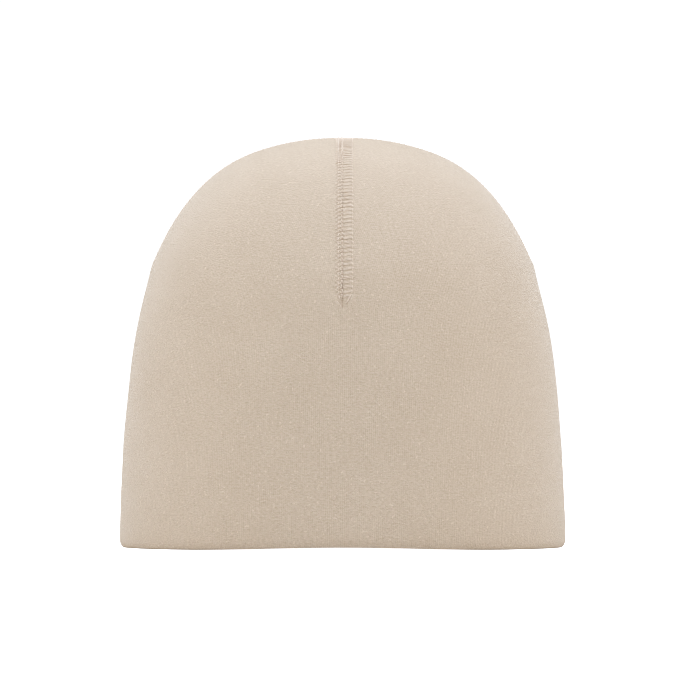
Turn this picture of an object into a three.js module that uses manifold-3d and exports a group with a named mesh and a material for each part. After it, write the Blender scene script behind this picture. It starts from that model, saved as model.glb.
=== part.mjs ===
// A close-fitting cotton jersey cap with no brim, standing open on its hem.
//
// The cloth is one tube of doubled jersey. Its folded lower edge is the hem, and its top is closed by darts:
// one at the front, one at the back, and one at each side that run together over the crown. A flat seam
// covers each dart. Millimetres, +Z up. The front faces -Y, and the origin is under the crown's centre, on
// the surface that the hem rests on.

import * as THREE from "three";
import { mergeVertices } from "three/addons/utils/BufferGeometryUtils.js";
import Module from "manifold-3d";

// Overall size, outside the cloth.
const CAP_WIDTH = 178; // side to side at the hem
const CAP_DEPTH = 190; // front to back at the hem
const CAP_HEIGHT = 163.6;

// Cloth: two layers of jersey, thicker where they fold under at the hem.
const WALL = 2.2;
const HEM_THICKNESS = 3.0;
const HEM_FADE = 12; // height over which the hem thins to the wall
const FOOT_WIDTH = 1.2; // flat strip that the hem rests on
const HEM_ARCH = 1.3; // how far the hem lifts off the surface at the centre front
const ARCH_REACH = 70; // half the width of that lift

// Flat seams, each a band let into the cloth's outer face.
const SEAM_WIDTH = 8;
const SEAM_THICKNESS = 0.8;
const SEAM_RISE = 0.3; // the band's crest above the cloth
const SEAM_GAP = 0.3; // clearance round a band
const SEAM_TAPER = 7; // length over which a band narrows to a dart's tip
const SEAM_TIP_WIDTH = 2.4;
const FRONT_DART_DROP = 70.5; // from the top of the cap down to the tip of the front dart and the back dart
const SIDE_DART_DROP = 53; // from the top down to a side dart's tip

// The cap's outline. Heights are shares of CAP_HEIGHT, side is the half width as a share of CAP_WIDTH / 2,
// and front is the half depth as a share of CAP_DEPTH / 2.
const OUTLINE = [
  { height: 0.0, side: 1.0, front: 1.0 },
  { height: 0.05, side: 0.999, front: 0.999 },
  { height: 0.12, side: 0.993, front: 0.993 },
  { height: 0.24, side: 0.981, front: 0.98 },
  { height: 0.36, side: 0.964, front: 0.961 },
  { height: 0.48, side: 0.939, front: 0.933 },
  { height: 0.6, side: 0.898, front: 0.889 },
  { height: 0.655, side: 0.871, front: 0.859 },
  { height: 0.7, side: 0.844, front: 0.826 },
  { height: 0.775, side: 0.777, front: 0.759 },
  { height: 0.84, side: 0.696, front: 0.678 },
  { height: 0.895, side: 0.602, front: 0.587 },
  { height: 0.944, side: 0.47, front: 0.461 },
  { height: 0.975, side: 0.323, front: 0.318 },
  { height: 0.994, side: 0.168, front: 0.166 },
];

// A band's cross-section, from edge to edge: across is a share of half the band's width, and crest is a
// share of SEAM_RISE. The valley in the middle is the joint between the dart's two edges.
const BAND_SECTION = [
  { across: -1.0, crest: 0.2 },
  { across: -0.7, crest: 1.0 },
  { across: -0.2, crest: 0.8 },
  { across: 0.0, crest: 0.0 },
  { across: 0.2, crest: 0.8 },
  { across: 0.7, crest: 1.0 },
  { across: 1.0, crest: 0.2 },
];

// Fineness of the facets.
const FACETS_AROUND = 72;
const ROWS_UP = 18;
const HEM_ROWS = 4;
const BAND_STEP = 5; // length of cloth for each step of a band
const TAPER_SHARES = [0, 0.35, 0.7]; // steps of a band inside SEAM_TAPER
const NUDGE = 0.2; // reach over which the cloth's slope is measured
const CURVE_STEPS = 800;
const HALVINGS = 40;

const JERSEY = { color: 0xcbb8a2, roughness: 0.95, metalness: 0 };
const THREAD = { color: 0xcdbba6, roughness: 0.9, metalness: 0 };

// The outline as one curve of (half width, half depth, height). It runs on past the crown, and so is level
// there.
const halfSize = new THREE.Vector3(CAP_WIDTH / 2, CAP_DEPTH / 2, CAP_HEIGHT);
const upOutline = OUTLINE.map(({ height, side, front }) =>
  new THREE.Vector3(side, front, height).multiply(halfSize),
);
const lastRow = upOutline[upOutline.length - 1];
const top = new THREE.Vector3(0, 0, CAP_HEIGHT);
const pastTop = new THREE.Vector3(-lastRow.x, -lastRow.y, lastRow.z);
const outline = new THREE.CatmullRomCurve3([...upOutline, top, pastTop], false, "centripetal");
outline.arcLengthDivisions = CURVE_STEPS;

// Lengths are counted along that curve from the hem. The crown's is found where the half width falls to
// nothing.
const curveLength = outline.getLength();
const crownLength = lengthWhere((at) => at.x <= 0, curveLength);
const frontTipLength = lengthWhere((at) => at.z >= CAP_HEIGHT - FRONT_DART_DROP, crownLength);
const sideTipLength = lengthWhere((at) => at.z >= CAP_HEIGHT - SIDE_DART_DROP, crownLength);

function lengthWhere(isPast, upTo) {
  let low = 0;
  let high = upTo;
  for (let halving = 0; halving < HALVINGS; halving++) {
    const middle = (low + high) / 2;
    if (isPast(outline.getPointAt(middle / curveLength))) high = middle;
    else low = middle;
  }
  return high;
}

// How far the cloth lifts at the centre front: a smooth hump across the hem, gone by halfway up.
function archLift(turn, height) {
  const across = (Math.sin(turn) * CAP_WIDTH) / 2;
  if (Math.cos(turn) <= 0 || Math.abs(across) >= ARCH_REACH) return 0;
  const fade = Math.max(0, 1 - height / (CAP_HEIGHT / 2));
  return HEM_ARCH * (0.5 + 0.5 * Math.cos((Math.PI * across) / ARCH_REACH)) * fade;
}

// The cloth's outer face. turn is the angle round the cap from the front, and length is counted up from the
// hem.
function outerPoint(turn, length) {
  const at = outline.getPointAt(THREE.MathUtils.clamp(length / curveLength, 0, 1));
  return new THREE.Vector3(at.x * Math.sin(turn), -at.y * Math.cos(turn), at.z + archLift(turn, at.z));
}

function outwardNormal(turn, length) {
  if (length > crownLength - NUDGE / 2) return new THREE.Vector3(0, 0, 1);
  const above = outerPoint(turn, Math.min(length + NUDGE, crownLength));
  const below = outerPoint(turn, Math.max(length - NUDGE, 0));
  const angle = NUDGE / CAP_WIDTH;
  const round = outerPoint(turn + angle, length).sub(outerPoint(turn - angle, length));
  return round.cross(above.sub(below)).normalize();
}

function insetPoint(turn, length, inset) {
  return outerPoint(turn, length).addScaledVector(outwardNormal(turn, length), -inset);
}

// A closed surface from rings of points, from one crown to the other: each end closes on a single point.
function closedRings(firstPoint, rings, lastPoint) {
  const around = rings[0].length;
  const points = [firstPoint, ...rings.flat(), lastPoint];
  const index = [];
  const at = (ring, step) => 1 + ring * around + (step % around);
  for (let step = 0; step < around; step++) {
    index.push(0, at(0, step), at(0, step + 1));
    for (let ring = 0; ring + 1 < rings.length; ring++) {
      const [a, b] = [at(ring, step), at(ring, step + 1)];
      const [c, d] = [at(ring + 1, step), at(ring + 1, step + 1)];
      index.push(a, c, d, a, d, b);
    }
    index.push(points.length - 1, at(rings.length - 1, step + 1), at(rings.length - 1, step));
  }
  return new THREE.BufferGeometry().setFromPoints(points).setIndex(index);
}

// The cloth shell before the seams are let in: down the outer face, round the hem and up the inner face.
function makeShell() {
  const hemRound = (HEM_THICKNESS - FOOT_WIDTH) / 2;
  const section = [];
  for (let row = 1; row < ROWS_UP; row++) {
    const share = 1 - row / ROWS_UP;
    section.push({ length: hemRound + (crownLength - hemRound) * share, inset: 0 });
  }
  for (let row = 0; row <= HEM_ROWS; row++) {
    const turn = (row / HEM_ROWS) * (Math.PI / 2);
    section.push({ length: hemRound * (1 - Math.sin(turn)), inset: hemRound * (1 - Math.cos(turn)) });
  }
  for (let row = HEM_ROWS; row >= 0; row--) {
    const turn = (row / HEM_ROWS) * (Math.PI / 2);
    section.push({
      length: hemRound * (1 - Math.sin(turn)),
      inset: HEM_THICKNESS - hemRound * (1 - Math.cos(turn)),
    });
  }
  for (let row = 1; row < ROWS_UP; row++) {
    const length = hemRound + ((crownLength - hemRound) * row) / ROWS_UP;
    const thin = THREE.MathUtils.smoothstep(length, hemRound, HEM_FADE);
    section.push({ length, inset: THREE.MathUtils.lerp(HEM_THICKNESS, WALL, thin) });
  }
  const rings = section.map(({ length, inset }) =>
    Array.from({ length: FACETS_AROUND }, (_, step) => {
      const turn = (step / FACETS_AROUND) * 2 * Math.PI;
      const point = insetPoint(turn, length, inset);
      // The foot is flat: its points stay on one level apart from the lift at the front.
      if (length < hemRound) point.z = length + archLift(turn, 0);
      return point;
    }),
  );
  return closedRings(insetPoint(0, crownLength, 0), rings, insetPoint(0, crownLength, WALL));
}

// A band swept along the cloth. Each station holds a point on the cloth, its normal, the way across the band
// and half the band's width there, and section gives the outline's {across, out} at that half width.
function sweepBand(stations, section) {
  const corner = ({ point, normal, across }, at) =>
    point.clone().addScaledVector(across, at.across).addScaledVector(normal, at.out);
  const rings = stations.map((station) => section(station.half).map((at) => corner(station, at)));
  const size = rings[0].length;
  const index = [];
  for (let ring = 0; ring + 1 < rings.length; ring++) {
    for (let side = 0; side < size; side++) {
      const next = (side + 1) % size;
      const [a, b] = [ring * size + side, ring * size + next];
      const [c, d] = [a + size, b + size];
      index.push(a, d, b, a, c, d);
    }
  }
  const flat = section(SEAM_WIDTH / 2).map((at) => new THREE.Vector2(at.across, at.out));
  const lastRing = (rings.length - 1) * size;
  for (const [a, b, c] of THREE.ShapeUtils.triangulateShape(flat, [])) {
    index.push(a, b, c, lastRing + a, lastRing + c, lastRing + b);
  }
  return new THREE.BufferGeometry().setFromPoints(rings.flat()).setIndex(index);
}

// The band itself: a flat back let into the cloth and a crest with a valley along the joint.
function bandSection(half) {
  const back = SEAM_RISE - SEAM_THICKNESS;
  const crest = BAND_SECTION.map((row) => ({ across: row.across * half, out: row.crest * SEAM_RISE }));
  return [{ across: -half, out: back }, { across: half, out: back }, ...crest.reverse()];
}

// The channel that a band lies in: its back and sides with a clearance, open to the outside.
function channelSection(half) {
  const back = SEAM_RISE - SEAM_THICKNESS - SEAM_GAP;
  const edge = half + SEAM_GAP;
  const open = SEAM_RISE + SEAM_THICKNESS;
  return [
    { across: -edge, out: back },
    { across: edge, out: back },
    { across: edge, out: open },
    { across: -edge, out: open },
  ];
}

// Stations of a band up one meridian of the cloth, from a dart's tip to endLength. Its width is tapered at
// the tip.
function dartStations(turn, tipLength, endLength) {
  const count = Math.max(2, Math.round((endLength - tipLength) / BAND_STEP));
  const start = tipLength + SEAM_TAPER;
  const tapered = TAPER_SHARES.map((share) => THREE.MathUtils.lerp(tipLength, start, share));
  const plainShares = Array.from({ length: count + 1 }, (_, step) => step / count);
  const plain = plainShares.map((share) => THREE.MathUtils.lerp(start, endLength, share));
  const across = new THREE.Vector3(Math.cos(turn), Math.sin(turn), 0);
  return [...tapered, ...plain].map((length) => {
    const grown = Math.sin((Math.PI / 2) * Math.min(1, (length - tipLength) / SEAM_TAPER));
    const half = THREE.MathUtils.lerp(SEAM_TIP_WIDTH, SEAM_WIDTH, grown) / 2;
    return { point: outerPoint(turn, length), normal: outwardNormal(turn, length), across, half };
  });
}

// The same stations with the last one moved on by the clearance, for the closed end of a channel.
function withClearEnd(stations) {
  const [before, last] = stations.slice(-2);
  const away = last.point.clone().sub(before.point).setLength(SEAM_GAP);
  return [...stations.slice(0, -1), { ...last, point: last.point.clone().add(away) }];
}

function withClearTip(stations) {
  return withClearEnd([...stations].reverse()).reverse();
}

const wasm = await Module();
wasm.setup();

function toSolid(geometry) {
  const bare = new THREE.BufferGeometry();
  bare.setAttribute("position", geometry.getAttribute("position"));
  bare.setIndex(geometry.getIndex());
  const merged = mergeVertices(bare, 1e-4);
  return new wasm.Manifold(
    new wasm.Mesh({
      numProp: 3,
      vertProperties: merged.getAttribute("position").array,
      triVerts: new Uint32Array(merged.getIndex().array),
    }),
  );
}

function toGeometry(solid) {
  const mesh = solid.getMesh();
  const geometry = new THREE.BufferGeometry();
  geometry.setAttribute("position", new THREE.BufferAttribute(mesh.vertProperties, 3));
  geometry.setIndex(new THREE.BufferAttribute(mesh.triVerts, 1));
  return geometry;
}

function namedMesh(name, geometry, finish) {
  geometry.computeVertexNormals();
  const mesh = new THREE.Mesh(geometry, new THREE.MeshStandardMaterial(finish));
  mesh.name = name;
  return mesh;
}

// The front and back bands stop at the edge of the one that crosses the crown.
const crossingLength = lengthWhere((at) => at.y <= SEAM_WIDTH / 2 + SEAM_GAP, crownLength);
const frontStations = dartStations(0, frontTipLength, crossingLength);
const backStations = dartStations(Math.PI, frontTipLength, crossingLength);

// The side darts' band is one, from the left dart's tip over the crown to the right dart's tip.
const leftStations = dartStations(-Math.PI / 2, sideTipLength, crownLength);
const rightStations = dartStations(Math.PI / 2, sideTipLength, crownLength - BAND_STEP);
const turnedRight = rightStations
  .map((station) => ({ ...station, across: station.across.clone().negate() }))
  .reverse();
const earToEarStations = [...leftStations, ...turnedRight];

// The front and back channels run on into the one that crosses the crown.
const channels = [
  withClearTip(dartStations(0, frontTipLength, crownLength)),
  withClearTip(dartStations(Math.PI, frontTipLength, crownLength)),
  withClearTip(withClearEnd(earToEarStations)),
];
const crown = channels.reduce(
  (cloth, stations) => cloth.subtract(toSolid(sweepBand(stations, channelSection))),
  toSolid(makeShell()),
);

const cap = new THREE.Group();
cap.add(namedMesh("crown", toGeometry(crown), JERSEY));
cap.add(namedMesh("front_seam", sweepBand(frontStations, bandSection), THREAD));
cap.add(namedMesh("back_seam", sweepBand(backStations, bandSection), THREAD));
cap.add(namedMesh("ear_to_ear_seam", sweepBand(earToEarStations, bandSection), THREAD));

export default cap;
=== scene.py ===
# The looks of a close-fitting cotton jersey cap with no brim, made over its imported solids.
#
# Metres, +Z up, the front of the cap towards -Y. The cap stands open on its folded hem.

import math

import bpy
import numpy as np
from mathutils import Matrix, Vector


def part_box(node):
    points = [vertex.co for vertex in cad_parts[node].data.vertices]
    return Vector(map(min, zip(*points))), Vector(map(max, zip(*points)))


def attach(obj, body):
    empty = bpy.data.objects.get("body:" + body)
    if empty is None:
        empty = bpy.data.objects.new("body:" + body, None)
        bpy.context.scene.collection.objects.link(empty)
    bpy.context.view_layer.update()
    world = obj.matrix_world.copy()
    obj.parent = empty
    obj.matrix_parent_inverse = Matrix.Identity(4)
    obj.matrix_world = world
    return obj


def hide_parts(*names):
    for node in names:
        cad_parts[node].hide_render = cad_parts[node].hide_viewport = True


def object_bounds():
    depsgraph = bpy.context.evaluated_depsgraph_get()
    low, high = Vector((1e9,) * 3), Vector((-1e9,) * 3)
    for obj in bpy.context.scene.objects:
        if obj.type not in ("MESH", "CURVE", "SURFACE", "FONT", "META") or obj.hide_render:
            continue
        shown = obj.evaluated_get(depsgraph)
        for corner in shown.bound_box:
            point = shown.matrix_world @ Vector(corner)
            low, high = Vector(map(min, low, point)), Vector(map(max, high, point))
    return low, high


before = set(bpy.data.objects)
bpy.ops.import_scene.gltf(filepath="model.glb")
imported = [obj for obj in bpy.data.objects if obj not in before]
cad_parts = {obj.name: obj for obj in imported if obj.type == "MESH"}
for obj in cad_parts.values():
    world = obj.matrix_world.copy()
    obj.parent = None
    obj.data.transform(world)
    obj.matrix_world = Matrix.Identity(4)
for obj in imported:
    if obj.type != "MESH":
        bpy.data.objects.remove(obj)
solid_low, solid_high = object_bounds()
MM = 0.001

# The photograph's view: a long lens a little above the hem, so that the cap is seen square on and its hem as
# a very flat curve. Its plain white is kept white, so colours are shown as they are.
PICTURE_WIDTH_PX = 700
CAP_WIDTH_PX = 445.3
CAP_MIDDLE_PX = 342.6  # column of the cap's middle
FLOOR_PX = 546.9  # row of the surface under the cap's middle
CAMERA_DISTANCE = 2.5
CAMERA_HEIGHT = 0.0425
PIXEL_FILTER = 1.0  # px: narrow, so that the fine lines of the knit stay as crisp as in the photograph

pixel = (solid_high.x - solid_low.x) / CAP_WIDTH_PX
camera_data = bpy.data.cameras.new("camera")
camera_data.sensor_width = 36
camera_data.lens = camera_data.sensor_width * CAMERA_DISTANCE / (PICTURE_WIDTH_PX * pixel)
camera_data.clip_end = 50
camera = bpy.data.objects.new("camera", camera_data)
bpy.context.scene.collection.objects.link(camera)
bpy.context.scene.camera = camera
aim = Vector(((PICTURE_WIDTH_PX / 2 - CAP_MIDDLE_PX) * pixel, 0, (FLOOR_PX - PICTURE_WIDTH_PX / 2) * pixel))
camera.location = (aim.x, -CAMERA_DISTANCE, CAMERA_HEIGHT)
camera.rotation_euler = (aim - camera.location).to_track_quat("-Z", "Y").to_euler()
bpy.context.scene.view_settings.view_transform = "Standard"
bpy.context.scene.cycles.filter_width = PIXEL_FILTER

# The crown: one tube of doubled cotton jersey, folded under at the hem and closed above by four darts. It is
# smooth and close-knit, brushed to a soft face, and keeps its round form as it stands.
SEAM_RISE = 0.3 * MM  # how far the solid seams stand above the cloth
WALL = 2.2 * MM
HEM_THICKNESS = 3.0 * MM
HEM_FADE = 12 * MM  # height over which the hem thins to the wall
HEM_OUTER_ROUND = (2.0 * MM, 3.3 * MM)  # the fold's outer corner, in from the face and up
HEM_INNER_ROUND = (0.5 * MM, 0.8 * MM)
HEM_ARCH = 1.3 * MM  # how far the hem lifts off the surface at the centre front
ARCH_REACH = 70 * MM  # half the width of that lift

# Height, half width and half depth, each as a share of the cap's own.
OUTLINE = [
    (0.0, 1.0, 1.0),
    (0.05, 0.999, 0.999),
    (0.12, 0.993, 0.993),
    (0.24, 0.981, 0.98),
    (0.36, 0.964, 0.961),
    (0.48, 0.939, 0.933),
    (0.6, 0.898, 0.889),
    (0.655, 0.871, 0.859),
    (0.7, 0.844, 0.826),
    (0.775, 0.777, 0.759),
    (0.84, 0.696, 0.678),
    (0.895, 0.602, 0.587),
    (0.944, 0.47, 0.461),
    (0.975, 0.323, 0.318),
    (0.994, 0.168, 0.166),
]
CURVE_POINTS = 3000

half_width = (solid_high.x - solid_low.x) / 2
half_depth = (solid_high.y - solid_low.y) / 2
cloth_top = solid_high.z - SEAM_RISE


def natural_spline(knots, values, at):
    """The smoothest curve through values at the knots, read at each place in at."""
    gap = np.diff(knots)
    slope = np.diff(values, axis=0) / gap[:, None]
    ties = np.eye(len(knots))
    pull = np.zeros_like(values)
    for i in range(1, len(knots) - 1):
        ties[i, i - 1 : i + 2] = gap[i - 1], 2 * (gap[i - 1] + gap[i]), gap[i]
        pull[i] = 6 * (slope[i] - slope[i - 1])
    bend = np.linalg.solve(ties, pull)
    i = np.clip(np.searchsorted(knots, at) - 1, 0, len(gap) - 1)
    width = gap[i][:, None]
    after = (at - knots[i])[:, None]
    before = width - after
    return (
        (bend[i] * before**3 + bend[i + 1] * after**3) / (6 * width)
        + (values[i] / width - bend[i] * width / 6) * before
        + (values[i + 1] / width - bend[i + 1] * width / 6) * after
    )


# The outline runs up to the crown and down again on the other side, so that it is level at the crown.
up = np.array(OUTLINE)[:, [1, 2, 0]] * (half_width, half_depth, cloth_top)
over = np.concatenate([up, [(0, 0, cloth_top)], up[::-1] * (-1, -1, 1)])
knots = np.concatenate([[0], np.cumsum(np.linalg.norm(np.diff(over, axis=0), axis=1))])
outline = natural_spline(knots, over, np.linspace(0, knots[len(up)], CURVE_POINTS))
steps = np.diff(outline, axis=0)
steps = np.hypot((steps[:, 0] + steps[:, 1]) / 2, steps[:, 2])
outline_length = np.concatenate([[0], np.cumsum(steps)])
outline_slope = np.gradient(outline, outline_length, axis=0)
crown_length = outline_length[-1]

FRONT_TIP_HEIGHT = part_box("front_seam")[0].z
SIDE_TIP_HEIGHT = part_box("ear_to_ear_seam")[0].z
front_tip_length = np.interp(FRONT_TIP_HEIGHT, outline[:, 2], outline_length)
side_tip_length = np.interp(SIDE_TIP_HEIGHT, outline[:, 2], outline_length)

# Long soft waves left in the cloth: their height, their length, the way that they run, and their phase.
WAVES = [
    (0.14 * MM, 74 * MM, (0.9, 0.3, 0.35), 0.4),
    (0.11 * MM, 58 * MM, (-0.5, 0.8, 0.6), 2.1),
    (0.07 * MM, 41 * MM, (0.6, -0.4, 0.9), 4.0),
    (0.03 * MM, 23 * MM, (0.2, 0.5, -0.9), 5.2),
]
DART_POKE = 0.36 * MM  # how far the cloth stands out at the end of a dart
DART_POKE_REACH = 5.5 * MM
WAVES_START = 15 * MM  # the waves grow from the hem up to this height


def smooth_step(low, high, value):
    """0 up to low, 1 from high on, and a smooth rise between them."""
    share = np.clip((value - low) / (high - low), 0, 1)
    return share * share * (3 - 2 * share)


def bare_cloth(turn, length):
    """Points and outward normals of the cloth without its waves and seams."""
    side, front, height = (np.interp(length, outline_length, column) for column in outline.T)
    side_slope, front_slope, rise = (np.interp(length, outline_length, column) for column in outline_slope.T)
    stretch = np.sqrt(np.maximum(side, 1e-6) / np.maximum(front, 1e-6))
    sine, cosine = np.sin(turn), np.cos(turn)
    across_front = np.clip(sine * side / ARCH_REACH, -1, 1)
    hump = (0.5 + 0.5 * np.cos(np.pi * across_front)) * (cosine > 0)
    lift = HEM_ARCH * hump * np.clip(1 - 2 * height / cloth_top, 0, 1)
    point = np.stack([side * sine, -front * cosine, height + lift], axis=-1)
    normal = np.stack(
        [
            rise * sine / stretch,
            -rise * cosine * stretch,
            -(front_slope * cosine**2 * stretch + side_slope * sine**2 / stretch),
        ],
        axis=-1,
    )
    return point, normal / np.linalg.norm(normal, axis=-1, keepdims=True)


DART_TIPS = [
    bare_cloth(np.array(0.0), np.array(front_tip_length))[0],
    bare_cloth(np.array(np.pi), np.array(front_tip_length))[0],
    bare_cloth(np.array(np.pi / 2), np.array(side_tip_length))[0],
    bare_cloth(np.array(-np.pi / 2), np.array(side_tip_length))[0],
]


def cloth(turn, length):
    """Points and outward normals of the cloth's outer face. turn is the angle round the cap from the front,
    and length is counted up from the hem."""
    point, normal = bare_cloth(turn, length)
    swell = np.zeros(point.shape[:-1])
    for height, wave_length, way, phase in WAVES:
        way = np.array(way) / np.linalg.norm(way)
        swell += height * np.sin(2 * np.pi * (point @ way) / wave_length + phase)
    swell *= smooth_step(0, WAVES_START, length)
    for tip in DART_TIPS:
        away = np.linalg.norm(point - tip, axis=-1)
        swell += DART_POKE * np.exp(-((away / DART_POKE_REACH) ** 2))
    return point + normal * swell[..., None], normal


# Where a seam lies, its sewn edges take the cloth's place, so the cloth dives under them. Stitching has drawn
# the cloth beside it into short shallow puckers, and raised two small folds at the dart's tip.
SEAM_LEFT = 3.0 * MM  # from the joint to the seam's left edge, seen from outside with the crown upwards
SEAM_RIGHT = 4.3 * MM
SEAM_TIP_HALF = 0.5 * MM
SEAM_TAPER = 7 * MM  # from the dart's tip to where the seam has its full width
TAPER_CURVE = 0.8  # below 1, it widens fastest at the tip
SEAM_SINK = 0.2 * MM  # how far the stitching holds the seam and the cloth's edge beside it down
SINK_INSIDE = 0.3 * MM  # it is this low at that distance inside the seam's edge
SINK_OUTSIDE = 1.7 * MM  # and level again at this distance outside it
BED_DEPTH = 1.1 * MM  # the cloth under the seam, where it can't be seen
BED_SLOPE = 1.1 * MM  # width of the dive from the seam's edge to that depth
BED_START = (-0.6 * MM, 0.9 * MM)  # the dive grows between these distances from the dart's tip
PUCKER_HEIGHT = 0.05 * MM
PUCKER_PITCH = 4.3 * MM
PUCKER_SLANT = 0.7  # how far a pucker runs down the seam for its length out from it
PUCKER_REACH = 4.5 * MM
PUCKER_START = (-2 * MM, 4 * MM)
TIP_FOLD_HEIGHT = 0.45 * MM
TIP_FOLD_OUT = 0.7 * MM  # from the seam's edge to the fold's crest
TIP_FOLD_HALF = 0.85 * MM
TIP_FOLD_UP = 2.6 * MM  # from the dart's tip to the fold's highest place, and half its length


def seam_share(along):
    """The seam's width at that distance from the dart's tip, as a share of its full width."""
    tip_share = 2 * SEAM_TIP_HALF / (SEAM_LEFT + SEAM_RIGHT)
    return tip_share + (1 - tip_share) * np.clip(along / SEAM_TAPER, 0, 1) ** TAPER_CURVE


def seam_relief(across, along):
    """How far the cloth stands out at that place across and along a seam, less where it is lowered."""
    share = seam_share(along)
    beyond = np.where(across > 0, across - SEAM_RIGHT * share, -across - SEAM_LEFT * share)
    sink = SEAM_SINK * (1 - smooth_step(-SINK_INSIDE, SINK_OUTSIDE, beyond))
    bed = BED_DEPTH * (1 - smooth_step(-SINK_INSIDE - BED_SLOPE, -SINK_INSIDE, beyond))
    bed = (sink + bed) * smooth_step(*BED_START, along)
    beside = np.exp(-np.maximum(beyond, 0) / PUCKER_REACH) * smooth_step(*PUCKER_START, along)
    puckers = np.sin(2 * np.pi * (along + PUCKER_SLANT * beyond) / PUCKER_PITCH) * beside
    fold_across = (beyond - TIP_FOLD_OUT) / TIP_FOLD_HALF
    fold_along = (along - TIP_FOLD_UP) / TIP_FOLD_UP
    fold = np.exp(-(fold_across**2) - fold_along**2)
    return PUCKER_HEIGHT * puckers + TIP_FOLD_HEIGHT * fold - bed


QUARTER_COLUMNS = 100  # columns of cloth between two darts, and the side of the square patch on top
PATCH_RADIUS = 62 * MM  # length of cloth from the crown's middle to that patch's edge
OUTER_ROWS = 122
INNER_ROWS = 34
HEM_STEPS = 7
FINE_SHARE = 0.55  # the columns' spacing at a seam against their mean spacing
LANE_REACH = 7 * MM  # columns this near to a seam run along it
LANE_END = (0.5, 0.9)  # and none do any more between these shares of the way to a panel's middle


def crown_section():
    """Rows of (length up the cloth, distance in from the outer face), down the outside, round the hem and up
    the inside."""
    patch_length = crown_length - PATCH_RADIUS
    rows = [(length, 0.0) for length in np.linspace(patch_length, HEM_OUTER_ROUND[1], OUTER_ROWS)]
    for turn in np.linspace(0, np.pi / 2, HEM_STEPS + 1)[1:]:
        rows.append((HEM_OUTER_ROUND[1] * (1 - np.sin(turn)), HEM_OUTER_ROUND[0] * (1 - np.cos(turn))))
    for turn in np.linspace(np.pi / 2, 0, HEM_STEPS + 1):
        inset = HEM_THICKNESS - HEM_INNER_ROUND[0] * (1 - np.cos(turn))
        rows.append((HEM_INNER_ROUND[1] * (1 - np.sin(turn)), inset))
    for length in np.linspace(HEM_INNER_ROUND[1], patch_length, INNER_ROWS)[1:]:
        thin = smooth_step(HEM_INNER_ROUND[1], HEM_FADE, length)
        rows.append((length, HEM_THICKNESS + (WALL - HEM_THICKNESS) * thin))
    return rows


def crown_points(turn, length, inset):
    """Points of the crown at that turn and length, and that distance in from its outer face."""
    point, normal = cloth(turn, length)
    relief = np.zeros(point.shape[:-1])
    for across, along, here in (
        (point[..., 0], length - front_tip_length, point[..., 1] < 0),
        (-point[..., 0], length - front_tip_length, point[..., 1] > 0),
        (point[..., 1], length - side_tip_length, point[..., 0] > 0),
        (-point[..., 1], length - side_tip_length, point[..., 0] < 0),
    ):
        this = seam_relief(across, along) * here
        relief = np.where(np.abs(this) > np.abs(relief), this, relief)
    lowered = np.where(inset > 0, 0, -relief)
    placed = point - normal * (inset + lowered)[..., None]
    # The foot stays level where it rests, and follows the lift at the front.
    arch = bare_cloth(turn, np.zeros_like(length))[0][..., 2]
    foot = np.minimum(length, placed[..., 2]) + arch
    placed[..., 2] = np.where(length < HEM_OUTER_ROUND[1], foot, placed[..., 2])
    return placed


def grid_side():
    """Places from -1 to 1, set closest together in the middle."""
    side = np.linspace(-1, 1, QUARTER_COLUMNS + 1)
    return side * (FINE_SHARE + (1 - FINE_SHARE) * side**2)


def along_seams(turn, length, patch_share):
    """The turn moved so that the columns beside each seam run along it."""
    nearest = np.round(turn / (np.pi / 2))
    away = turn - nearest * (np.pi / 2)
    lane = PATCH_RADIUS * patch_share * away
    side, front = (np.interp(length, outline_length, outline[:, i]) for i in (0, 1))
    plan = np.maximum(np.where(nearest % 2 == 0, side, front), MM)
    keep = np.arcsin(np.clip(lane / plan, -0.9, 0.9))
    free = smooth_step(LANE_REACH, 2 * LANE_REACH, np.abs(lane))
    free = np.maximum(free, smooth_step(*LANE_END, np.abs(away) / (np.pi / 4)))
    return nearest * (np.pi / 2) + keep + (away - keep) * free


def square_patch():
    """Turn, length and share of the patch's radius for the points of a square grid laid over the crown."""
    side = grid_side()
    p, q = np.meshgrid(side, side, indexing="ij")
    wide = np.abs(p) > np.abs(q)
    larger = np.where(wide, p, q)
    safe = np.where(larger == 0, 1, larger)
    lean = np.pi / 4 * np.where(wide, q, p) / safe
    x = np.where(wide, larger * np.cos(lean), larger * np.sin(lean))
    y = np.where(wide, larger * np.sin(lean), larger * np.cos(lean))
    return np.arctan2(x, -y), crown_length - PATCH_RADIUS * np.abs(larger), np.abs(larger)


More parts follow.
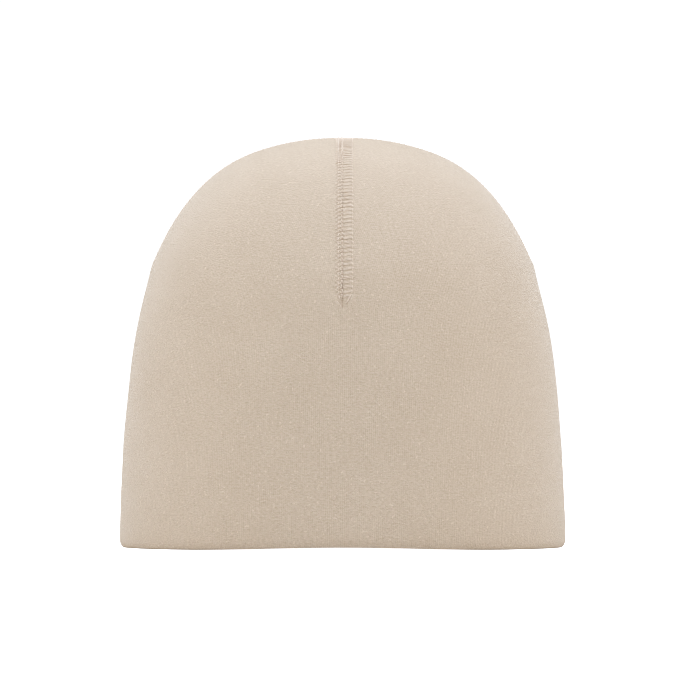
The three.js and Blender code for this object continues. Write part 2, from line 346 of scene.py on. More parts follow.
def crown_mesh():
    """Points and faces of the whole crown: rings round it, closed above by a square patch outside and in."""
    rows = crown_section()
    columns = 4 * QUARTER_COLUMNS
    quarter = np.pi / 4 * (1 + grid_side()[:-1])
    ring_turn = np.concatenate([-np.pi / 4 + quarter + i * np.pi / 2 for i in range(4)])
    length = np.repeat([row[0] for row in rows], columns)
    inset = np.repeat([row[1] for row in rows], columns)
    turn = np.tile(ring_turn, len(rows))
    patch_share = np.ones_like(turn)
    index = np.arange(len(rows) * columns).reshape(len(rows), columns)
    here, right = index, np.roll(index, -1, axis=1)
    faces = [np.stack([here[:-1], here[1:], right[1:], right[:-1]], axis=-1).reshape(-1, 4)]

    last = QUARTER_COLUMNS
    patch_turn, patch_length, patch_radius = square_patch()
    edge = (
        [(i, 0) for i in range(last)]
        + [(last, j) for j in range(last)]
        + [(last - i, last) for i in range(last)]
        + [(0, last - j) for j in range(last)]
    )
    for ring, patch_inset in ((0, 0.0), (len(rows) - 1, WALL)):
        grid = np.full((last + 1, last + 1), -1)
        for column, place in enumerate(edge):
            grid[place] = index[ring, column]
        inner = grid < 0
        grid[inner] = len(turn) + np.arange(inner.sum())
        turn = np.concatenate([turn, patch_turn[inner]])
        length = np.concatenate([length, patch_length[inner]])
        inset = np.concatenate([inset, np.full(inner.sum(), patch_inset)])
        patch_share = np.concatenate([patch_share, patch_radius[inner]])
        quads = np.stack([grid[:-1, :-1], grid[1:, :-1], grid[1:, 1:], grid[:-1, 1:]], axis=-1).reshape(-1, 4)
        faces.append(quads if patch_inset == 0 else quads[:, ::-1])
    turn = along_seams(turn, length, patch_share)
    return crown_points(turn, length, inset), np.concatenate(faces), turn, length


def cloth_map(faces, turn, length):
    """Places of the faces' corners on the flat cloth, in metres. The knit runs straight up each of the four
    panels between the darts, and is cut off at the seams."""
    radius = (half_width + half_depth) / 2
    plan = np.interp(length, outline_length, (outline[:, 0] + outline[:, 1]) / 2)
    reach = []
    for tip_length in (front_tip_length, side_tip_length):
        tip_plan = np.interp(tip_length, outline_length, (outline[:, 0] + outline[:, 1]) / 2)
        reach.append(radius * np.minimum(1, plan / tip_plan))
    corner = turn[faces]
    middle = np.arctan2(np.sin(corner).mean(axis=1), np.cos(corner).mean(axis=1))
    panel = np.floor(middle / (np.pi / 2))[:, None]
    centre = (panel + 0.5) * (np.pi / 2)
    away = (corner - centre + np.pi) % (2 * np.pi) - np.pi
    to_front_or_back = (panel % 2 == 0) == (away < 0)
    u = radius * centre + away * np.where(to_front_or_back, reach[0][faces], reach[1][faces])
    return np.stack([u, length[faces]], axis=-1)


def add_piece(name, points, faces, maps):
    """A smooth mesh with its UV maps, each given by name with a place for each corner of each face."""
    mesh = bpy.data.meshes.new(name)
    mesh.from_pydata(points.tolist(), [], faces if isinstance(faces, list) else faces.tolist())
    for map_name, places in maps.items():
        layer = mesh.uv_layers.new(name=map_name)
        layer.uv.foreach_set("vector", np.asarray(places, np.float32).ravel())
    mesh.shade_smooth()
    piece = bpy.data.objects.new(name, mesh)
    bpy.context.scene.collection.objects.link(piece)
    return piece


points, faces, turn, length = crown_mesh()
crown = add_piece("crown_cloth", points, faces, {"cloth": cloth_map(faces, turn, length)})

# Brushed cotton jersey. The eye sees an even, quite matt beige with a soft pale bloom where it turns away,
# small uneven flecks of fibre, and the faint upright lines of the knit, whose grooves are darkened with
# painted shade and whose wales are lightened between them.
COTTON_LIGHT = "#D7C3AB"
COTTON_DARK = "#BBA489"
COTTON_ROUGHNESS = 0.92
COTTON_SHEEN = 0.5
COTTON_SHEEN_TINT = "#FFF5E4"
COTTON_IOR = 1.5
WALE = 0.85 * MM  # a real one is about 0.7 mm wide: drawn as coarse as it needs to show
COURSE = 0.8 * MM  # a real one is about 0.5 mm high
KNIT_DEPTH = 0.025 * MM
YARN_LEAN = 1.4  # how steeply the yarn leans from a wale's edge to its middle, in courses to a wale
YARN_SHARE = 0.35  # height of the yarns against the depth of the grooves between wales
GROOVE_PAINTED_SHADE = (0.01, 0.08)  # painted shade: how much darker a groove between wales is drawn, and its wale lighter, where the nap hides it and where it shows
NAP = 14 * MM  # size of the places where the knit, and the painted shade in its grooves, shows more or less through the brushed face
NAP_RANGE = (0.35, 0.65)
FLECK = 1.9 * MM  # size of the uneven places in the brushed face
FLECK_SHARE = 0.25  # how much of the flecks is mixed with the fibres
FLECK_DEPTH = 0.5 * MM
FIBRE = 0.65 * MM  # a tuft of brushed fibres is about 0.2 mm thick: drawn as coarse as it needs to show
FIBRE_LENGTH = 1.3 * MM
PILL = 1.0 * MM  # a small pill is about half as wide: drawn as coarse as it needs to show
PILL_RANGE = (0.74, 0.86)  # only the highest spots of the noise become pills
PILL_TONE = 0.7
PATCH = 24 * MM  # size of the slightly lighter and darker places that handling leaves
PATCH_TONE = 0.15
TONE_RANGE = (0.36, 1.04)  # what the sum of all these is for the dark colour and for the light one


def linear(hex_colour, alpha=1.0):
    """A colour written as sRGB hex, as the linear values that the shader takes."""
    parts = [int(hex_colour[i : i + 2], 16) / 255 for i in (1, 3, 5)]
    return [c / 12.92 if c <= 0.04045 else ((c + 0.055) / 1.055) ** 2.4 for c in parts] + [alpha]


def add_node(tree, kind, inputs, **settings):
    """Adds a node with its settings. inputs gives a value or another node's output for each socket."""
    node = tree.nodes.new(kind)
    for name, value in settings.items():
        setattr(node, name, value)
    for socket, value in inputs.items():
        if isinstance(value, bpy.types.NodeSocket):
            tree.links.new(value, node.inputs[socket])
        else:
            node.inputs[socket].default_value = value
    return node


def new_material(name):
    """A material without nodes, and its node tree."""
    material = bpy.data.materials.new(name)
    material.use_nodes = True
    material.node_tree.nodes.clear()
    return material, material.node_tree


jersey, tree = new_material("brushed_cotton_jersey")
place = add_node(tree, "ShaderNodeUVMap", {}, uv_map="cloth")
split = add_node(tree, "ShaderNodeSeparateXYZ", {0: place.outputs["UV"]})
wales = add_node(tree, "ShaderNodeMath", {0: split.outputs["X"], 1: 1 / WALE}, operation="MULTIPLY")
courses = add_node(tree, "ShaderNodeMath", {0: split.outputs["Y"], 1: 1 / COURSE}, operation="MULTIPLY")
# Each wale is a column of V shapes: from its edge, 0, to its middle, 0.5, the yarn leans down.
across = add_node(tree, "ShaderNodeMath", {0: wales.outputs[0], 1: 0.5}, operation="PINGPONG")
lean = add_node(
    tree,
    "ShaderNodeMath",
    {0: across.outputs[0], 1: YARN_LEAN, 2: courses.outputs[0]},
    operation="MULTIPLY_ADD",
)
cycle = add_node(tree, "ShaderNodeMath", {0: lean.outputs[0], 1: 2 * math.pi}, operation="MULTIPLY")
loop = add_node(tree, "ShaderNodeMath", {0: cycle.outputs[0]}, operation="SINE")
yarn = add_node(tree, "ShaderNodeMath", {0: loop.outputs[0], 1: YARN_SHARE}, operation="MULTIPLY")
wale_turn = add_node(tree, "ShaderNodeMath", {0: wales.outputs[0], 1: 2 * math.pi}, operation="MULTIPLY")
groove = add_node(tree, "ShaderNodeMath", {0: wale_turn.outputs[0]}, operation="COSINE")
knit = add_node(tree, "ShaderNodeMath", {0: yarn.outputs[0], 1: groove.outputs[0]}, operation="SUBTRACT")

where = add_node(tree, "ShaderNodeTexCoord", {})
spot = where.outputs["Object"]
fleck = add_node(
    tree, "ShaderNodeTexNoise", {"Vector": spot, "Scale": 1 / FLECK, "Detail": 2.0, "Roughness": 0.6}
)
# The brushed fibres lie mostly crosswise, so their noise is longer across than up the cloth.
fibre_across = add_node(
    tree, "ShaderNodeMath", {0: split.outputs["X"], 1: 1 / FIBRE_LENGTH}, operation="MULTIPLY"
)
fibre_up = add_node(tree, "ShaderNodeMath", {0: split.outputs["Y"], 1: 1 / FIBRE}, operation="MULTIPLY")
fibre_place = add_node(
    tree, "ShaderNodeCombineXYZ", {"X": fibre_across.outputs[0], "Y": fibre_up.outputs[0]}
)
fibre = add_node(
    tree,
    "ShaderNodeTexNoise",
    {"Vector": fibre_place.outputs[0], "Scale": 1.0, "Detail": 2.0, "Roughness": 0.7},
)
pill = add_node(tree, "ShaderNodeTexNoise", {"Vector": spot, "Scale": 1 / PILL, "Detail": 0.0})
pills = add_node(
    tree,
    "ShaderNodeMapRange",
    {"Value": pill.outputs["Fac"], "From Min": PILL_RANGE[0], "From Max": PILL_RANGE[1], "To Max": PILL_TONE},
)
flecks = add_node(
    tree,
    "ShaderNodeMath",
    {0: fleck.outputs["Fac"], 1: FLECK_SHARE, 2: fibre.outputs["Fac"]},
    operation="MULTIPLY_ADD",
)
specks = add_node(tree, "ShaderNodeMath", {0: flecks.outputs[0], 1: pills.outputs["Result"]}, operation="ADD")
patch = add_node(tree, "ShaderNodeTexNoise", {"Vector": spot, "Scale": 1 / PATCH, "Detail": 1.0})
mottled = add_node(
    tree,
    "ShaderNodeMath",
    {0: patch.outputs["Fac"], 1: PATCH_TONE, 2: specks.outputs[0]},
    operation="MULTIPLY_ADD",
)
nap = add_node(tree, "ShaderNodeTexNoise", {"Vector": spot, "Scale": 1 / NAP, "Detail": 1.0})
# Painted shade: the grooves between the wales are drawn darker in the colour and the wales' middles lighter,
# more so where the nap lets the knit show.
groove_painted_shade = add_node(
    tree,
    "ShaderNodeMapRange",
    {
        "Value": nap.outputs["Fac"],
        "From Min": NAP_RANGE[0],
        "From Max": NAP_RANGE[1],
        "To Min": -GROOVE_PAINTED_SHADE[0],
        "To Max": -GROOVE_PAINTED_SHADE[1],
    },
)
tone = add_node(
    tree,
    "ShaderNodeMath",
    {0: groove.outputs[0], 1: groove_painted_shade.outputs["Result"], 2: mottled.outputs[0]},
    operation="MULTIPLY_ADD",
)
share = add_node(
    tree,
    "ShaderNodeMapRange",
    {"Value": tone.outputs[0], "From Min": TONE_RANGE[0], "From Max": TONE_RANGE[1]},
)
colour = add_node(
    tree,
    "ShaderNodeMix",
    {"Factor": share.outputs["Result"], "A": linear(COTTON_DARK), "B": linear(COTTON_LIGHT)},
    data_type="RGBA",
)
knit_bump = add_node(
    tree, "ShaderNodeBump", {"Height": knit.outputs[0], "Strength": 0.5, "Distance": KNIT_DEPTH}
)
fleck_bump = add_node(
    tree,
    "ShaderNodeBump",
    {
        "Height": flecks.outputs[0],
        "Strength": 0.8,
        "Distance": FLECK_DEPTH,
        "Normal": knit_bump.outputs["Normal"],
    },
)
shader = add_node(
    tree,
    "ShaderNodeBsdfPrincipled",
    {
        "Base Color": colour.outputs["Result"],
        "Roughness": COTTON_ROUGHNESS,
        "IOR": COTTON_IOR,
        "Specular IOR Level": 0.25,
        "Sheen Weight": COTTON_SHEEN,
        "Sheen Roughness": 0.5,
        "Sheen Tint": linear(COTTON_SHEEN_TINT),
        "Normal": fleck_bump.outputs["Normal"],
    },
)
add_node(tree, "ShaderNodeOutputMaterial", {"Surface": shader.outputs["BSDF"]})
crown.data.materials.append(jersey)
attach(crown, "root")
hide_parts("crown")

# The front seam: the two raw edges of the front dart laid side by side and sewn flat. It has a ridge on each
# side of the joint and runs from the dart's tip up to the seam that crosses the crown.
JOINT_DEPTH = 0.22 * MM
JOINT_TIP_DEPTH = 0.5 * MM  # it is pulled in deeper towards the dart's tip
JOINT_TIP_REACH = (6 * MM, 20 * MM)  # it rises to its usual depth between these distances from the tip
JOINT_HALF = 0.28 * MM
STITCH_PUFF = 0.04 * MM  # how far the edges swell between two stitches
EDGE_HIDDEN = 0.4 * MM  # width of each edge that lies out of sight under the cloth beside it
EDGE_FOOT = 0.95 * MM  # depth of its hidden side
EDGE_BASE = 1.05 * MM  # depth of its underside
EDGE_STEP = 0.4 * MM
EDGE_COLUMNS = 45
EDGE_CROWDING = 0.35  # how much closer the columns lie towards the sides
UNDER_STEP = 11  # the underside has one column for this many above
STITCH = 1.9 * MM  # from one stitch to the next
CROWN_MIDDLE = 2 * MM  # this near to it, the curving is taken from the cloth round it


def seam_line(turns, lengths):
    """The line that a seam follows over the cloth: for each point its distance along, place, normal, the way
    across to the right, and how far the cloth curves away to the sides."""
    point, normal = cloth(turns, lengths)
    along = np.concatenate([[0], np.cumsum(np.linalg.norm(np.diff(point, axis=0), axis=1))])
    ahead = np.gradient(point, along, axis=0)
    right = np.cross(ahead, normal)
    right /= np.linalg.norm(right, axis=1, keepdims=True)
    level = np.hypot(point[:, 0], point[:, 1])
    clear = level > CROWN_MIDDLE
    curving = np.hypot(normal[:, 0], normal[:, 1]) / np.maximum(level, MM)
    curving = np.interp(along, along[clear], curving[clear])
    return along, np.column_stack([point, normal, right, curving])


def over_seam(line, along, across, out):
    """The point at that distance along a seam, to the right of its joint, and out from the cloth."""
    read = np.stack([np.interp(along, line[0], column) for column in line[1].T], axis=-1)
    drop = read[..., 9] * across**2 / 2
    return read[..., 0:3] + read[..., 6:9] * across[..., None] + read[..., 3:6] * (out - drop)[..., None]


def inside_line(line):
    """The same line on the cloth's inner face, with its normal turned inwards."""
    along, columns = line
    point, normal, right, curving = columns[:, 0:3], columns[:, 3:6], columns[:, 6:9], columns[:, 9:]
    return along, np.column_stack([point - normal * WALL, -normal, right, -curving])


def tip_distance(along, total, two_tips):
    """How far that place is from the dart's tip, or from the nearer one where both ends are tips."""
    return np.minimum(along, total - along) if two_tips else along


def ridge_profile(across, inward, along, from_tip):
    """Height of the sewn edges at that distance from the joint, inward from the hidden edge and along."""
    depth = JOINT_TIP_DEPTH + (JOINT_DEPTH - JOINT_TIP_DEPTH) * smooth_step(*JOINT_TIP_REACH, from_tip)
    joint = np.exp(-((across / JOINT_HALF) ** 2))
    fall = 1 - smooth_step(0, EDGE_HIDDEN, inward)
    puff = STITCH_PUFF * np.cos(2 * np.pi * along / STITCH) * (1 - fall)
    return puff - SEAM_SINK - depth * joint - (EDGE_FOOT - SEAM_SINK) * fall


def add_edges(name, line, two_tips):
    """The sewn edges of a dart as one closed strip."""
    total = line[0][-1]
    rows = int(total / EDGE_STEP)
    along = np.linspace(0, total, rows + 1)[:, None]
    from_tip = tip_distance(along, total, two_tips)
    share = seam_share(from_tip)
    even = np.linspace(-1, 1, EDGE_COLUMNS)[None, :]
    top = EDGE_CROWDING * np.sin(np.pi / 2 * even) + (1 - EDGE_CROWDING) * even
    width = np.where(top > 0, SEAM_RIGHT, SEAM_LEFT) * share + EDGE_HIDDEN - SINK_INSIDE / 2
    under = top[:, ::-UNDER_STEP]
    under_width = np.where(under > 0, SEAM_RIGHT, SEAM_LEFT) * share
    across = np.concatenate([top * width, under * under_width], axis=1)
    face = across[:, :EDGE_COLUMNS]
    out = ridge_profile(face, width - np.abs(face), along, from_tip)
    out = np.concatenate([out, np.full_like(under_width, -EDGE_BASE)], axis=1)
    points = over_seam(line, np.broadcast_to(along, across.shape), across, out)
    around = across.shape[1]
    index = np.arange(points.shape[0] * around).reshape(-1, around)
    right = np.roll(index, -1, axis=1)
    faces = np.stack([index[:-1], right[:-1], right[1:], index[1:]], axis=-1).reshape(-1, 4)
    place = np.stack([across, np.broadcast_to(along, across.shape)], axis=-1).reshape(-1, 2)
    ends = [index[0][::-1].tolist(), index[-1].tolist()]
    all_faces = faces.tolist() + ends
    corners = np.concatenate([place[faces].reshape(-1, 2)] + [place[end] for end in ends])
    piece = add_piece(name, points.reshape(-1, 3), all_faces, {"cloth": corners})
    piece.data.materials.append(jersey)
    return piece


LINE_STEP = 0.5 * MM


def dart_line(turn, tip_length, end_length):
    """The line of the seam over one dart, from its tip up the cap."""
    lengths = np.arange(tip_length, end_length, LINE_STEP)
    return seam_line(np.full(len(lengths), turn), lengths)


CROSSING_LAP = 0.35 * MM  # how far a seam's end runs in under the one that crosses it

front_line = dart_line(0.0, front_tip_length, crown_length - SEAM_RIGHT + CROSSING_LAP)
front_edges = add_edges("front_seam_edges", front_line, two_tips=False)
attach(front_edges, "root")
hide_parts("front_seam")

# Spun polyester sewing thread. It is dyed to match, and reads as round, finely twisted strands with a slight
# soft gloss; the grooves between its plies are darkened with painted shade.
THREAD_LIGHT = "#E5D2BC"
# The colour drawn in the grooves between the plies: painted shade.
THREAD_PAINTED_SHADE = "#CFBAA1"
THREAD_ROUGHNESS = 0.7
THREAD_IOR = 1.5
TWIST = 0.7 * MM  # length of one turn of its plies
PLIES = 2
PLY_DEPTH = 0.05 * MM

sewing_thread, tree = new_material("spun_polyester_thread")
place = add_node(tree, "ShaderNodeUVMap", {}, uv_map="thread")
split = add_node(tree, "ShaderNodeSeparateXYZ", {0: place.outputs["UV"]})
wound = add_node(
    tree,
    "ShaderNodeMath",
    {0: split.outputs["Y"], 1: 1 / TWIST, 2: split.outputs["X"]},
    operation="MULTIPLY_ADD",
)
plies = add_node(tree, "ShaderNodeMath", {0: wound.outputs[0], 1: 2 * math.pi * PLIES}, operation="MULTIPLY")
ply = add_node(tree, "ShaderNodeMath", {0: plies.outputs[0]}, operation="SINE")
# Painted shade: the colour runs from light on each ply's crest to dark in the groove between plies.
share = add_node(tree, "ShaderNodeMapRange", {"Value": ply.outputs[0], "From Min": -1.0, "From Max": 0.6})
colour = add_node(
    tree,
    "ShaderNodeMix",
    {"Factor": share.outputs["Result"], "A": linear(THREAD_PAINTED_SHADE), "B": linear(THREAD_LIGHT)},
    data_type="RGBA",
)
bump = add_node(tree, "ShaderNodeBump", {"Height": ply.outputs[0], "Strength": 0.5, "Distance": PLY_DEPTH})
shader = add_node(
    tree,
    "ShaderNodeBsdfPrincipled",
    {
        "Base Color": colour.outputs["Result"],
        "Roughness": THREAD_ROUGHNESS,
        "IOR": THREAD_IOR,
        "Specular IOR Level": 0.35,
        "Sheen Weight": 0.15,
        "Sheen Roughness": 0.5,
        "Normal": bump.outputs["Normal"],
    },
)
add_node(tree, "ShaderNodeOutputMaterial", {"Surface": shader.outputs["BSDF"]})

# The front seam's threads: a looper thread laid in rungs over the right edge, another in a zigzag over the
# left edge, and needle threads that tie them down in small stitches along the joint and both sides.
THREAD_RADIUS = 0.2 * MM
NEEDLE_RADIUS = 0.3 * MM
THREAD_SIDES = 8
THREAD_LIE = -0.2 * MM  # height of a thread's middle over the cloth's face
THREAD_DIVE = -0.5 * MM  # depth at which a thread's end is hidden in the cloth
RUNG_SPREAD = 0.42 * MM  # between the two strands of a rung
RUNG_LEAN = 0.6 * MM  # how much further up its outer end lies
FIRST_RUNG = 5.0 * MM  # from the dart's tip
FIRST_NEEDLE = 4.3 * MM
NEEDLE_STITCH = 0.55 * STITCH
NEEDLE_RISE = 0.25 * MM  # a needle stitch lies over the looper thread, this much higher
# Place across the seam, how much further up than the first needle, and how much deeper than the others.
NEEDLE_LINES = [
    (SEAM_RIGHT * 0.91, RUNG_LEAN, 0.17 * MM),
    (-SEAM_LEFT * 0.06, STITCH / 2, 0.0),
    (-SEAM_LEFT * 0.53, 0.0, 0.0),
]
INSIDE_CHAIN = 2.2 * MM  # from the joint to the chain of stitches on each side of it inside the cap
INSIDE_STITCH = 1.1 * STITCH  # each stitch of the chain reaches into the next
INSIDE_LIE = 0.1 * MM  # how much further they stand out of the cloth than the stitches on its face


def sweep(paths, radius):
    """Round tubes along many paths of as many points each, as points, faces and a map of around and along."""
    count, steps = paths.shape[:2]
    ahead = np.gradient(paths, axis=1)
    ahead /= np.linalg.norm(ahead, axis=2, keepdims=True)
    side = np.cross(ahead[:, 0], ahead[:, 0, [1, 2, 0]] * (1, -1, 1))
    side /= np.linalg.norm(side, axis=1, keepdims=True)
    rings = []
    turn = np.linspace(0, 2 * np.pi, THREAD_SIDES, endpoint=False)
    for step in range(steps):
        way = ahead[:, step]
        side = side - way * (side * way).sum(axis=1, keepdims=True)
        side /= np.linalg.norm(side, axis=1, keepdims=True)
        other = np.cross(way, side)
        ring = side[:, None] * np.cos(turn)[None, :, None] + other[:, None] * np.sin(turn)[None, :, None]
        rings.append(paths[:, step, None] + radius * ring)
    points = np.stack(rings, axis=1)
    index = np.arange(count * steps * THREAD_SIDES).reshape(count, steps, THREAD_SIDES)
    right = np.roll(index, -1, axis=2)
    faces = np.stack([index[:, :-1], right[:, :-1], right[:, 1:], index[:, 1:]], axis=-1)
    lengths = np.linalg.norm(np.diff(paths, axis=1), axis=2)
    lengths = np.concatenate([np.zeros((count, 1)), np.cumsum(lengths, axis=1)], axis=1)
    share = np.arange(THREAD_SIDES) / THREAD_SIDES
    low = np.broadcast_to(lengths[:, :-1, None], faces.shape[:3])
    high = np.broadcast_to(lengths[:, 1:, None], faces.shape[:3])
    left = np.broadcast_to(share, faces.shape[:3])
    places = np.stack(
        [
            np.stack([left, left + 1 / THREAD_SIDES, left + 1 / THREAD_SIDES, left], axis=-1),
            np.stack([low, low, high, high], axis=-1),
        ],
        axis=-1,
    )
    ends = np.concatenate([index[:, 0, ::-1], index[:, -1]])
    end_places = np.zeros(ends.shape + (2,))
    return points.reshape(-1, 3), faces.reshape(-1, 4), places.reshape(-1, 2), ends, end_places.reshape(-1, 2)


def rounded(corners, steps):
    """Soft paths of that many steps, one for each stitch. Every corner is (along, across, out), and each of
    the three is a number or has a value for each stitch."""
    corners = np.stack([np.stack(np.broadcast_arrays(*corner), axis=-1) for corner in corners])
    count, stitches = corners.shape[:2]
    at = np.linspace(0, count - 1, steps)
    paths = natural_spline(np.arange(count, dtype=float), corners.reshape(count, -1), at)
    return paths.reshape(steps, stitches, 3).transpose(1, 0, 2)


def needle_stitches(starts, across, length):
    """Short stitches along the seam, each diving into the cloth at both ends."""
    top = THREAD_LIE + NEEDLE_RISE
    shape = [(0.0, THREAD_DIVE), (0.14, THREAD_LIE), (0.5, top), (0.86, THREAD_LIE), (1.0, THREAD_DIVE)]
    corners = [(starts + share * length, across, out) for share, out in shape]
    return rounded(corners, steps=10)


def rung_stitches(starts, right, random):
    """Each goes out from the joint to the right edge, turns there and comes back."""
    bow = RUNG_LEAN / 2 + random.normal(0.04 * MM, 0.08 * MM, len(starts))
    lie = THREAD_LIE + random.normal(0, 0.03 * MM, len(starts))
    edge = right - 0.3 * MM + random.normal(0, 0.1 * MM, len(starts))
    spread = RUNG_SPREAD + random.normal(0, 0.05 * MM, len(starts))
    outer = starts + RUNG_LEAN + random.normal(0, 0.08 * MM, len(starts))
    corners = [
        (starts, 0.15 * MM, THREAD_DIVE),
        (starts, 0.55 * MM, lie),
        (starts + bow, edge * 0.55, lie + 0.03 * MM),
        (outer + 0.03 * MM, edge - 0.25 * MM, lie),
        (outer + spread / 2, edge + 0.1 * MM, lie - 0.05 * MM),
        (outer + spread - 0.03 * MM, edge - 0.25 * MM, lie),
        (starts + spread + bow, edge * 0.55, lie + 0.03 * MM),
        (starts + spread, 0.55 * MM, lie),
        (starts + spread, 0.15 * MM, THREAD_DIVE),
    ]
    return rounded(corners, steps=26)


def zigzag_stitches(starts, left, random):
    """Each goes out from the joint to the left edge and comes back one stitch further on."""
    lie = THREAD_LIE + random.normal(0, 0.03 * MM, len(starts))
    corners = [
        (starts, -0.2 * MM, THREAD_DIVE),
        (starts + 0.08 * STITCH, -0.4 * MM, lie),
        (starts + 0.28 * STITCH, -left * 0.5, lie + 0.05 * MM),
        (starts + 0.46 * STITCH, -left + 0.45 * MM, lie),
        (starts + 0.55 * STITCH, -left + 0.28 * MM, lie - 0.06 * MM),
        (starts + 0.64 * STITCH, -left + 0.45 * MM, lie),
        (starts + 0.82 * STITCH, -left * 0.5, lie + 0.05 * MM),
        (starts + 1.02 * STITCH, -0.4 * MM, lie),
        (starts + 1.1 * STITCH, -0.2 * MM, THREAD_DIVE),
    ]
    return rounded(corners, steps=24)


def thread_ends():
    """The ends of the sewing, tucked in on the right and left of the dart's tip. Each corner is given by its
    distance from the tip, its place across the seam, and its height over the cloth."""
    right = [
        (5.2 * MM, 2.5 * MM, THREAD_DIVE),
        (4.6 * MM, 2.6 * MM, 0.0),
        (3.6 * MM, 2.2 * MM, 0.05 * MM),
        (2.8 * MM, 1.6 * MM, 0.05 * MM),
        (2.4 * MM, 1.1 * MM, THREAD_DIVE),
    ]
    left = [
        (3.7 * MM, -2.3 * MM, THREAD_DIVE),
        (3.2 * MM, -2.0 * MM, 0.0),
        (2.4 * MM, -1.4 * MM, 0.05 * MM),
        (1.7 * MM, -0.9 * MM, 0.0),
        (1.4 * MM, -0.5 * MM, THREAD_DIVE),
    ]
    return rounded(np.array([right, left]).transpose(1, 2, 0), steps=16)


def add_threads(name, line, two_tips, seed):
    """All the threads of one seam, as one mesh: those on the cloth's face, and the chains of small stitches
    that they make inside it."""
    total = line[0][-1]
    random = np.random.default_rng(seed)
    paths = [thread_ends()]
    if two_tips:
        paths.append(thread_ends() * (-1, -1, 1) + (total, 0, 0))
    starts = np.arange(FIRST_RUNG, total - (FIRST_RUNG if two_tips else STITCH / 2), STITCH)
    share = seam_share(tip_distance(starts, total, two_tips))
    paths.append(rung_stitches(starts, SEAM_RIGHT * share, random))
    paths.append(zigzag_stitches(starts, SEAM_LEFT * share, random))
    shown = [(line, path, THREAD_RADIUS) for path in paths]
    starts = np.arange(FIRST_NEEDLE, total - (FIRST_NEEDLE if two_tips else STITCH / 2), STITCH)
    share = seam_share(tip_distance(starts, total, two_tips))
    for place, later, sunk in NEEDLE_LINES:
        across = place * share + random.normal(0, 0.06 * MM, len(starts))
        path = needle_stitches(starts + later, across, NEEDLE_STITCH) - (0, 0, sunk)
        shown.append((line, path, NEEDLE_RADIUS))
    for side in (-1, 1):
        across = np.full_like(starts, side * INSIDE_CHAIN) + random.normal(0, 0.05 * MM, len(starts))
        path = needle_stitches(starts, across * share, INSIDE_STITCH) + (0, 0, INSIDE_LIE)
        shown.append((inside_line(line), path, NEEDLE_RADIUS))
    points, faces, places, count = [], [], [], 0
    ends, end_places = [], []
    for on_line, path, radius in shown:
        centres = over_seam(on_line, path[..., 0], path[..., 1], path[..., 2])
        made = sweep(centres, radius)
        points.append(made[0])
        faces.append(made[1] + count)
        places.append(made[2])
        ends.append(made[3] + count)
        end_places.append(made[4])
        count += len(made[0])
    all_faces = np.concatenate(faces).tolist() + np.concatenate(ends).tolist()
    corners = np.concatenate(places + end_places)
    piece = add_piece(name, np.concatenate(points), all_faces, {"thread": corners})
    piece.data.materials.append(sewing_thread)
    return piece


front_threads = add_threads("front_seam_threads", front_line, two_tips=False, seed=3)
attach(front_threads, "root")

# The back seam: the two raw edges of the back dart, laid side by side and sewn flat with the same stitches
# as at the front. It ends at the other side of the seam that crosses the crown.
back_line = dart_line(math.pi, front_tip_length, crown_length - SEAM_LEFT + CROSSING_LAP)
back_edges = add_edges("back_seam_edges", back_line, two_tips=False)
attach(back_edges, "root")
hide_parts("back_seam")
back_threads = add_threads("back_seam_threads", back_line, two_tips=False, seed=5)
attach(back_threads, "root")

# The seam from ear to ear closes the two side darts and crosses the crown between them, over the ends of
# the front and back seams. It is sewn last, in one run, with the same stitches.
side_lengths = np.arange(side_tip_length, crown_length, LINE_STEP)
ear_turns = np.concatenate([np.full(len(side_lengths), -np.pi / 2), np.full(len(side_lengths), np.pi / 2)])
ear_line = seam_line(ear_turns, np.concatenate([side_lengths, side_lengths[::-1]]))
ear_edges = add_edges("ear_to_ear_seam_edges", ear_line, two_tips=True)
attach(ear_edges, "root")
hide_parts("ear_to_ear_seam")
ear_threads = add_threads("ear_to_ear_seam_threads", ear_line, two_tips=True, seed=7)
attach(ear_threads, "root")

# The studio: a floor of matt white background paper and a white surround, which light the cap softly from
# all round. The floor glows for the camera, so that it stays as plain a white as the photograph's.
FLOOR_SIZE = 30.0
WHITE = "#FFFFFF"
FLOOR_WHITE = 0.75
FLOOR_GLOW = 0.92
FLOOR_GLOW_ON_CAP = 0.17
SURROUND_LIGHT = 0.505
UPWARD_GAIN = 0.3  # the surround is brighter above and darker below by this
BACKDROP_GLOW = 1.05

floor_mesh = bpy.data.meshes.new("floor")
half = FLOOR_SIZE / 2
floor_corners = [(-half, -half, 0), (half, -half, 0), (half, half, 0), (-half, half, 0)]
floor_mesh.from_pydata(floor_corners, [], [(0, 1, 2, 3)])
floor = bpy.data.objects.new("floor", floor_mesh)
bpy.context.scene.collection.objects.link(floor)
floor_paper, tree = new_material("matt_background_paper")
ray = add_node(tree, "ShaderNodeLightPath", {})
strength = add_node(
    tree,
    "ShaderNodeMapRange",
    {"Value": ray.outputs["Is Camera Ray"], "To Min": FLOOR_GLOW_ON_CAP, "To Max": FLOOR_GLOW},
)
diffuse = add_node(tree, "ShaderNodeBsdfDiffuse", {"Color": [FLOOR_WHITE, FLOOR_WHITE, FLOOR_WHITE, 1]})
glow = add_node(tree, "ShaderNodeEmission", {"Color": linear(WHITE), "Strength": strength.outputs["Result"]})
both = add_node(tree, "ShaderNodeAddShader", {0: diffuse.outputs["BSDF"], 1: glow.outputs["Emission"]})
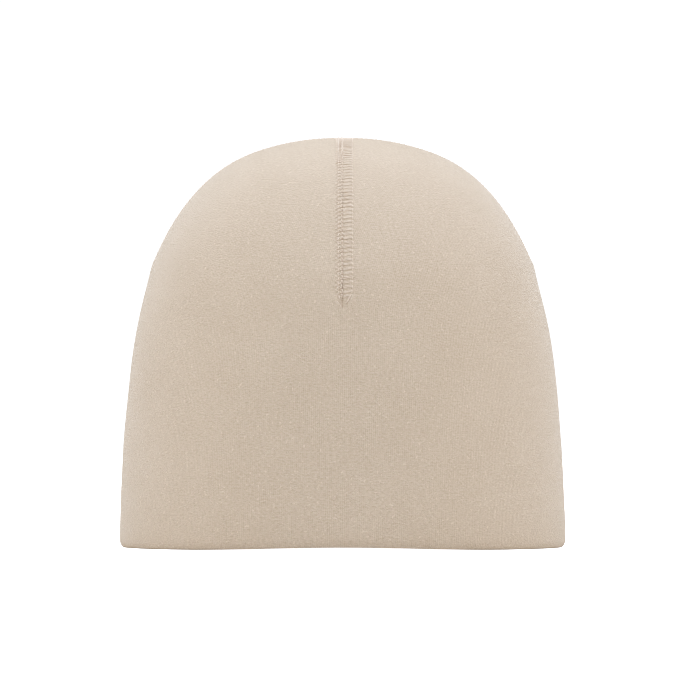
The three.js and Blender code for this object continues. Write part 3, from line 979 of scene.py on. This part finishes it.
# From below the floor can't be seen, so that the cap's hollow shows.
face = add_node(tree, "ShaderNodeNewGeometry", {})
clear = add_node(tree, "ShaderNodeBsdfTransparent", {})
seen = add_node(
    tree,
    "ShaderNodeMixShader",
    {0: face.outputs["Backfacing"], 1: both.outputs["Shader"], 2: clear.outputs["BSDF"]},
)
add_node(tree, "ShaderNodeOutputMaterial", {"Surface": seen.outputs["Shader"]})
floor.data.materials.append(floor_paper)

world = bpy.data.worlds.new("studio")
bpy.context.scene.world = world
world.use_nodes = True
tree = world.node_tree
tree.nodes.clear()
way = add_node(tree, "ShaderNodeTexCoord", {})
split = add_node(tree, "ShaderNodeSeparateXYZ", {0: way.outputs["Generated"]})
rise = add_node(
    tree,
    "ShaderNodeMath",
    {0: split.outputs["Z"], 1: UPWARD_GAIN, 2: SURROUND_LIGHT},
    operation="MULTIPLY_ADD",
)
lit = add_node(tree, "ShaderNodeBackground", {"Color": linear(WHITE), "Strength": rise.outputs[0]})
plain = add_node(tree, "ShaderNodeBackground", {"Color": linear(WHITE), "Strength": BACKDROP_GLOW})
ray = add_node(tree, "ShaderNodeLightPath", {})
mixed = add_node(
    tree, "ShaderNodeMixShader", {0: ray.outputs["Is Camera Ray"], 1: lit.outputs[0], 2: plain.outputs[0]}
)
add_node(tree, "ShaderNodeOutputWorld", {"Surface": mixed.outputs["Shader"]})

# Name, place, size, power and colour of each softbox. All of them face the cap's middle. The last lights the
# cap's hollow, so that its inside shows from below.
SOFTBOXES = [
    ("softbox_above", (0.0, -0.15, 1.5), 1.6, 27.0, "#CCE0FF"),
    ("softbox_left", (-1.5, -0.1, 0.5), 1.2, 3.1, "#FFF6EC"),
    ("softbox_right", (1.5, -0.1, 0.5), 1.2, 3.1, "#FFF2E4"),
    ("light_under_crown", (0.0, 0.0, 0.004), 0.12, 0.08, "#DCE8FF"),
]
cap_middle = Vector((0, 0, cloth_top / 2))
for name, place, size, power, light_colour in SOFTBOXES:
    light = bpy.data.lights.new(name, "AREA")
    light.color = linear(light_colour)[:3]
    light.size = size
    light.energy = power
    softbox = bpy.data.objects.new(name, light)
    softbox.location = place
    softbox.rotation_euler = (cap_middle - Vector(place)).to_track_quat("-Z", "Y").to_euler()
    softbox.visible_camera = False
    bpy.context.scene.collection.objects.link(softbox)
